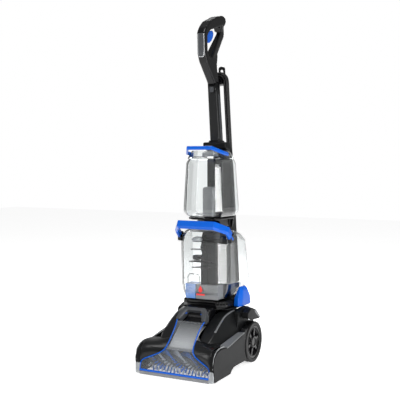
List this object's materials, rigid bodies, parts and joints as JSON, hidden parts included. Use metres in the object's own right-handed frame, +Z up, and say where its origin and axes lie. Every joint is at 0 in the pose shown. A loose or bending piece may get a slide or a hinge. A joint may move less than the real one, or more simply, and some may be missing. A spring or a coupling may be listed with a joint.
{
  "type": "upright carpet cleaner",
  "caption": "Upright carpet cleaner with driven brush, see-through nozzle window, reclining body, removable clean and dirty water tanks, loop handle and wrapped cord.",
  "frame": {"origin": "on the floor, under the middle of the machine's width and depth", "axes": "+Z up, -Y the way the nozzle faces, +X to the right of a user who stands behind and faces -Y's opposite view of the front"},
  "size_m": [0.27, 0.391, 1.1091],
  "materials": {
    "charcoal_plastic": "satin moulded ABS, charcoal",
    "black_plastic": "semi-gloss moulded ABS, black",
    "blue_plastic": "gloss moulded ABS, bright blue",
    "clear_plastic": "clear moulded copolyester",
    "smoke_plastic": "smoke tinted clear moulding",
    "grey_plastic": "mid grey moulded ABS",
    "silver_plastic": "silver grey moulded ABS",
    "tyre_rubber": "black soft tread",
    "steel": "plain turned steel",
    "motor_metal": "cast motor body",
    "belt_rubber": "ribbed drive belt",
    "nylon_white": "white nylon filament",
    "nylon_blue": "blue nylon filament",
    "cord_rubber": "black flexible cord jacket"
  },
  "bodies": {
    "foot": {"foot_base": "black_plastic", "foot_cover": "charcoal_plastic", "cheek_left": "charcoal_plastic", "cheek_right": "charcoal_plastic", "side_panel_left": "charcoal_plastic", "side_panel_right": "charcoal_plastic", "nozzle_window": "smoke_plastic", "window_trim": "blue_plastic", "nozzle_lip": "smoke_plastic", "suction_channel": "grey_plastic", "neck_collar": "grey_plastic", "spray_bar": "black_plastic", "brush_motor": "motor_metal", "drive_belt": "belt_rubber", "pivot_pin": "steel", "wheel_axles": "steel", "foot_screws": "steel", "pedal_spring": "steel"},
    "brush": {"brush_core": "black_plastic", "brush_pulley": "black_plastic", "bristles_white": "nylon_white", "bristles_blue": "nylon_blue"},
    "motor_drive": {"motor_pulley": "steel"},
    "wheel_left": {"wheel_hub_left": "black_plastic", "wheel_tyre_left": "tyre_rubber"},
    "wheel_right": {"wheel_hub_right": "black_plastic", "wheel_tyre_right": "tyre_rubber"},
    "pedal": {"recline_pedal": "grey_plastic"},
    "upright": {"tank_seat": "black_plastic", "pivot_yoke": "black_plastic", "housing_front": "charcoal_plastic", "housing_rear": "charcoal_plastic", "body_screws": "steel", "tank_ledge": "black_plastic", "vacuum_motor": "motor_metal", "water_pump": "black_plastic", "handle_tube": "charcoal_plastic", "handle_shell_left": "black_plastic", "handle_shell_right": "black_plastic", "badge_panel": "silver_plastic", "cord_hook_lower": "black_plastic", "strain_relief": "cord_rubber", "power_cord": "cord_rubber", "cord_hank": "cord_rubber", "power_plug": "cord_rubber"},
    "fan": {"fan_impeller": "black_plastic"},
    "side_port_cover": {"port_cover": "blue_plastic"},
    "trigger": {"trigger": "blue_plastic"},
    "trigger_rod": {"trigger_rod": "steel"},
    "power_button": {"power_button": "grey_plastic"},
    "upper_hook": {"cord_hook_upper": "black_plastic"},
    "lower_tank": {"dirty_tank": "clear_plastic", "dirty_tank_lid": "clear_plastic", "intake_stack": "charcoal_plastic"},
    "float": {"tank_float": "charcoal_plastic"},
    "lower_tank_handle": {"dirty_tank_handle": "blue_plastic"},
    "upper_tank": {"clean_tank": "clear_plastic", "valve_well": "grey_plastic", "clean_tank_handle": "blue_plastic"},
    "fill_cap": {"clean_tank_cap": "grey_plastic"}
  },
  "joints": [
    {"name": "recline_hinge", "type": "hinge", "parent": "foot", "child": "upright", "pos_m": [0, 0.08589, 0.075], "axis": [-1, 0, 0], "range_deg": [0, 60]},
    {"name": "brush_spin", "type": "hinge", "parent": "foot", "child": "brush", "pos_m": [0, -0.14011, 0.038], "axis": [1, 0, 0], "continuous": true},
    {"name": "motor_spin", "type": "hinge", "parent": "foot", "child": "motor_drive", "pos_m": [0, -0.02411, 0.06], "axis": [1, 0, 0], "continuous": true},
    {"name": "wheel_left_spin", "type": "hinge", "parent": "foot", "child": "wheel_left", "pos_m": [-0.12, 0.09589, 0.065], "axis": [1, 0, 0], "continuous": true},
    {"name": "wheel_right_spin", "type": "hinge", "parent": "foot", "child": "wheel_right", "pos_m": [0.12, 0.09589, 0.065], "axis": [1, 0, 0], "continuous": true},
    {"name": "pedal_press", "type": "hinge", "parent": "foot", "child": "pedal", "pos_m": [0.12, 0.05389, 0.16], "axis": [-1, 0, 0], "range_deg": [0, 5], "stiffness_Nm_per_rad": 4, "springref_deg": -6.88, "deforming": ["pedal_spring"]},
    {"name": "fan_spin", "type": "hinge", "parent": "upright", "child": "fan", "pos_m": [0, 0.13989, 0.342], "axis": [0, 0, 1], "continuous": true},
    {"name": "port_cover_swing", "type": "hinge", "parent": "upright", "child": "side_port_cover", "pos_m": [0.088, 0.13989, 0.193], "axis": [0, 0, 1], "range_deg": [0, 95]},
    {"name": "trigger_pull", "type": "hinge", "parent": "upright", "child": "trigger", "pos_m": [0, 0.01389, 1.046], "axis": [1, 0, 0], "range_deg": [0, 8], "stiffness_Nm_per_rad": 0.6, "springref_deg": -8.59},
    {"name": "trigger_rod_slide", "type": "slide", "parent": "upright", "child": "trigger_rod", "axis": [0, -0.1156, 0.9933], "range_m": [0, 0.00602]},
    {"name": "power_button_press", "type": "slide", "parent": "upright", "child": "power_button", "axis": [0, 1, 0], "range_m": [0, 0.0025], "stiffness_N_per_m": 300, "springref_m": -0.002},
    {"name": "upper_hook_turn", "type": "hinge", "parent": "upright", "child": "upper_hook", "pos_m": [0, 0.08769, 0.898], "axis": [0, 0.9919, 0.1271], "range_deg": [0, 180]},
    {"name": "lower_tank_pull", "type": "slide", "parent": "upright", "child": "lower_tank", "axis": [0, -1, 0], "range_m": [0, 0.16]},
    {"name": "float_rise", "type": "slide", "parent": "lower_tank", "child": "float", "axis": [0, 0, 1], "range_m": [0, 0.015]},
    {"name": "lower_handle_swing", "type": "hinge", "parent": "lower_tank", "child": "lower_tank_handle", "pos_m": [0, 0.01189, 0.401], "axis": [1, 0, 0], "range_deg": [0, 22], "stiffness_Nm_per_rad": 0.6, "springref_deg": -28.65},
    {"name": "upper_tank_pull", "type": "slide", "parent": "upright", "child": "upper_tank", "axis": [0, -1, 0], "range_m": [0, 0.16]},
    {"name": "fill_cap_turn", "type": "hinge", "parent": "upper_tank", "child": "fill_cap", "pos_m": [0, 0.04589, 0.67], "axis": [0, 0, 1], "continuous": true}
  ],
  "couplings": [
    {"joint": "motor_spin", "follows": "brush_spin", "ratio": 1.75},
    {"joint": "trigger_rod_slide", "follows": "trigger_pull", "m_per_rad": 0.04297}
  ]
}
